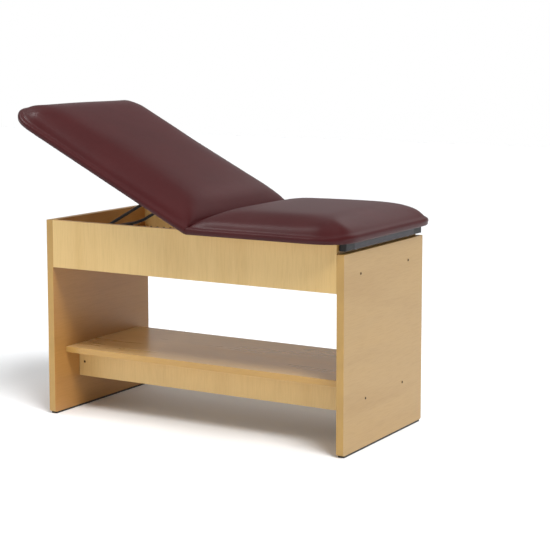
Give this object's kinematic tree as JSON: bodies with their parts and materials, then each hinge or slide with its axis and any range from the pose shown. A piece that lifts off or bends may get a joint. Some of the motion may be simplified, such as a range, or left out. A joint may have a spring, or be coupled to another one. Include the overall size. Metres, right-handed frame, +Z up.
{
  "type": "medical exam table",
  "caption": "Exam table with laminate end panels, a storage shelf, a fixed padded seat and a hinged padded backrest held by a ratchet bail.",
  "frame": {"origin": "on the floor, under the middle of the head panel, at the centre of the head glide's lower face", "axes": "+X runs along the table from the head end to the foot end, +Y across it to the rear, +Z up"},
  "size_m": [1.4116, 0.762, 1.182],
  "materials": {
    "maple": "satin maple-pattern laminate with matching edge bands",
    "plywood": "bare plywood",
    "vinyl": "burgundy upholstery vinyl with a fine leather grain",
    "black_steel": "satin black paint",
    "grey_steel": "satin dark grey paint",
    "zinc_steel": "bright zinc plate",
    "black_plastic": "moulded matt black",
    "nylon": "natural nylon"
  },
  "bodies": {
    "base": {"foot_cleat": "maple", "foot_glide": "black_plastic", "foot_panel": "maple", "foot_rail": "grey_steel", "front_apron": "maple", "front_foot_cam": "zinc_steel", "front_foot_lower_screw": "zinc_steel", "front_foot_upper_screw": "zinc_steel", "front_head_cam": "zinc_steel", "front_head_lower_screw": "zinc_steel", "front_head_upper_screw": "zinc_steel", "front_hinge_pin": "zinc_steel", "front_hinge_seat_leaf": "black_steel", "front_rack": "black_steel", "front_rack_head_screw": "zinc_steel", "front_rack_hinge_screw": "zinc_steel", "front_rail_bolt": "black_steel", "front_rail_plug": "black_plastic", "front_stretcher": "maple", "head_cleat": "maple", "head_glide": "black_plastic", "head_panel": "maple", "hinge_rail": "maple", "middle_hinge_pin": "zinc_steel", "middle_hinge_seat_leaf": "black_steel", "rack_rail": "maple", "rear_apron": "maple", "rear_foot_cam": "zinc_steel", "rear_foot_lower_screw": "zinc_steel", "rear_foot_upper_screw": "zinc_steel", "rear_head_cam": "zinc_steel", "rear_head_lower_screw": "zinc_steel", "rear_head_upper_screw": "zinc_steel", "rear_hinge_pin": "zinc_steel", "rear_hinge_seat_leaf": "black_steel", "rear_rack": "black_steel", "rear_rack_head_screw": "zinc_steel", "rear_rack_hinge_screw": "zinc_steel", "rear_rail_bolt": "black_steel", "rear_rail_plug": "black_plastic", "rear_stretcher": "maple", "seat_board": "plywood", "seat_pad": "vinyl", "shelf": "maple"},
    "backrest": {"backrest_board": "plywood", "backrest_pad": "vinyl", "front_bail_bracket": "black_steel", "front_bail_bracket_bush": "nylon", "front_hinge_backrest_leaf": "black_steel", "middle_hinge_backrest_leaf": "black_steel", "rear_bail_bracket": "black_steel", "rear_bail_bracket_bush": "nylon", "rear_hinge_backrest_leaf": "black_steel"},
    "bail": {"bail": "black_steel", "front_bail_collar": "zinc_steel", "rear_bail_collar": "zinc_steel"}
  },
  "joints": [
    {"name": "backrest_hinge", "type": "hinge", "parent": "base", "child": "backrest", "pos_m": [0.655, 0, 0.7397], "axis": [0, 1, 0], "range_deg": [-26.3, 28.7]},
    {"name": "bail_pivot", "type": "hinge", "parent": "backrest", "child": "bail", "pos_m": [0.39233, 0, 0.84944], "axis": [0, 1, 0], "range_deg": [-54, 50]}
  ],
  "couplings": [
    {"joint": "bail_pivot", "follows": "backrest_hinge", "ratio": -1.878}
  ]
}
